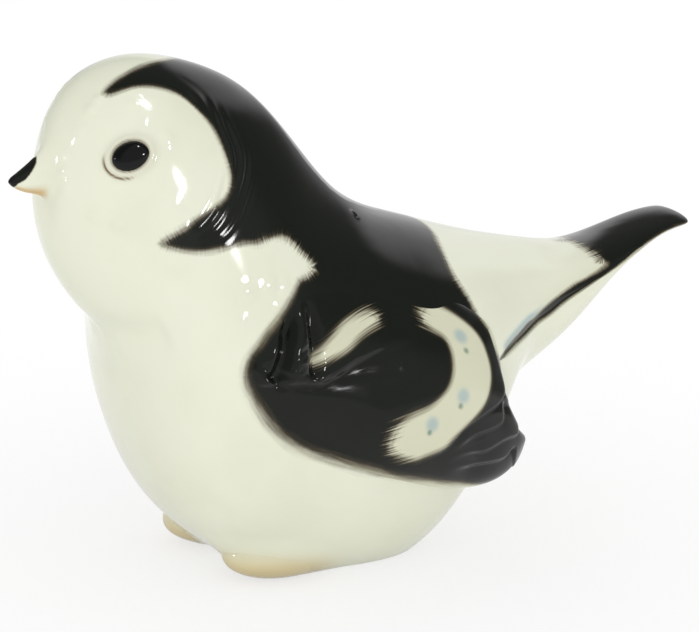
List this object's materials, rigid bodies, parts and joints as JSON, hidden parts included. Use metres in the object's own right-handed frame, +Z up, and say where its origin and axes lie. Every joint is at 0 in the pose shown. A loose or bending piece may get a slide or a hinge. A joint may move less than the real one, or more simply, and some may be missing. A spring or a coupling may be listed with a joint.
{
  "type": "bird figurine",
  "caption": "Glazed porcelain figurine of a plump, perching songbird with folded wings and a raised tail, standing on a flat base.",
  "frame": {"origin": "point in the underside of the base plate, on the bird's mid-plane and on the surface that it stands on", "axes": "+Z up, beak towards -X and tail towards +X, the bird's left side towards -Y"},
  "size_m": [0.1256, 0.059, 0.0864],
  "materials": {
    "body_glaze": "gloss glaze over painted black and cream plumage",
    "biscuit": "unglazed biscuit",
    "beak_glaze": "gloss glaze, black above and ochre below",
    "tail_glaze": "gloss glaze, black above and cream below",
    "wing_glaze": "gloss glaze over painted black plumage with cream bars",
    "eye_glaze": "gloss black",
    "toe_glaze": "gloss glaze over tan wash"
  },
  "bodies": {
    "root": {"body_shell": "body_glaze", "base_plate": "biscuit", "beak": "beak_glaze", "tail": "tail_glaze", "left_wing": "wing_glaze", "right_wing": "wing_glaze", "left_eye": "eye_glaze", "right_eye": "eye_glaze", "left_foot": "toe_glaze", "right_foot": "toe_glaze"}
  },
  "joints": []
}
